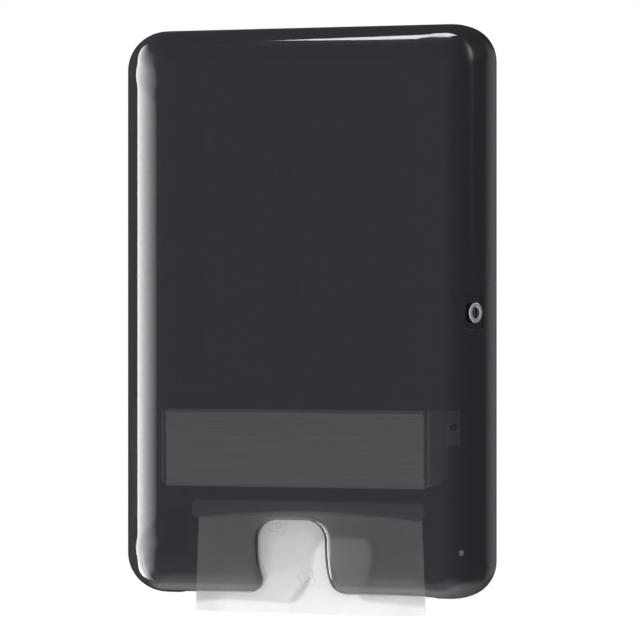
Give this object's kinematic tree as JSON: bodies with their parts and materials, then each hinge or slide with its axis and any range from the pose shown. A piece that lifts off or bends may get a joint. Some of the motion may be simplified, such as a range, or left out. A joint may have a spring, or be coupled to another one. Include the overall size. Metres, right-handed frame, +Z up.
{
  "type": "hand towel dispenser",
  "caption": "Wall-mounted dispenser for folded paper hand towels: glossy rounded cover, smoke-clear at its foot, that swings open sideways; key lock on the shoulder, grip notch, hanging towel.",
  "frame": {"origin": "centre of the back face, on the wall", "axes": "+X to the right seen from the front, +Y into the wall, +Z up"},
  "size_m": [0.3014, 0.102, 0.482],
  "materials": {
    "smoke_cover": "high gloss, clear smoke tint",
    "black_mask": "smooth, opaque",
    "tape": "matte black foam tape",
    "pale_plug": "satin",
    "black_housing": "fine moulded grain",
    "black_zinc": "black zinc plate",
    "zinc_steel": "bright zinc plate",
    "screw_steel": "bright, machined",
    "lock_chrome": "polished",
    "grey_guide": "satin",
    "grey_lip": "satin",
    "towel_paper": "soft embossed paper"
  },
  "bodies": {
    "housing": {"back_housing": "black_housing", "hinge_bracket_upper": "black_zinc", "hinge_bracket_lower": "black_zinc", "hinge_pin_upper": "black_zinc", "hinge_pin_lower": "black_zinc", "bracket_screws": "black_zinc", "strike_plate": "zinc_steel", "strike_screws": "black_zinc", "side_guide_left": "grey_guide", "side_guide_right": "grey_guide", "guide_screws": "black_zinc", "throat_tray": "black_housing", "throat_lip": "grey_lip", "tray_screws": "black_zinc", "towel_stack": "towel_paper", "hanging_towel": "towel_paper"},
    "cover": {"cover_shell": "smoke_cover", "cover_mask": "black_mask", "mask_tape": "tape", "blanking_plug": "pale_plug", "hinge_leaf_upper": "black_zinc", "hinge_leaf_lower": "black_zinc", "leaf_screws": "black_zinc", "lock_barrel": "lock_chrome", "lock_washer": "zinc_steel", "lock_nut": "zinc_steel"},
    "key_plug": {"lock_plug": "lock_chrome", "lock_cam": "zinc_steel", "cam_screw": "screw_steel"}
  },
  "joints": [
    {"name": "cover_swing", "type": "hinge", "parent": "housing", "child": "cover", "pos_m": [-0.1414, -0.018, 0], "axis": [0, 0, -1], "range_deg": [0, 95]},
    {"name": "key_turn", "type": "hinge", "parent": "cover", "child": "key_plug", "pos_m": [0.1395, -0.0555, -0.001], "axis": [-0.866, 0.5, 0], "range_deg": [0, 90]}
  ]
}
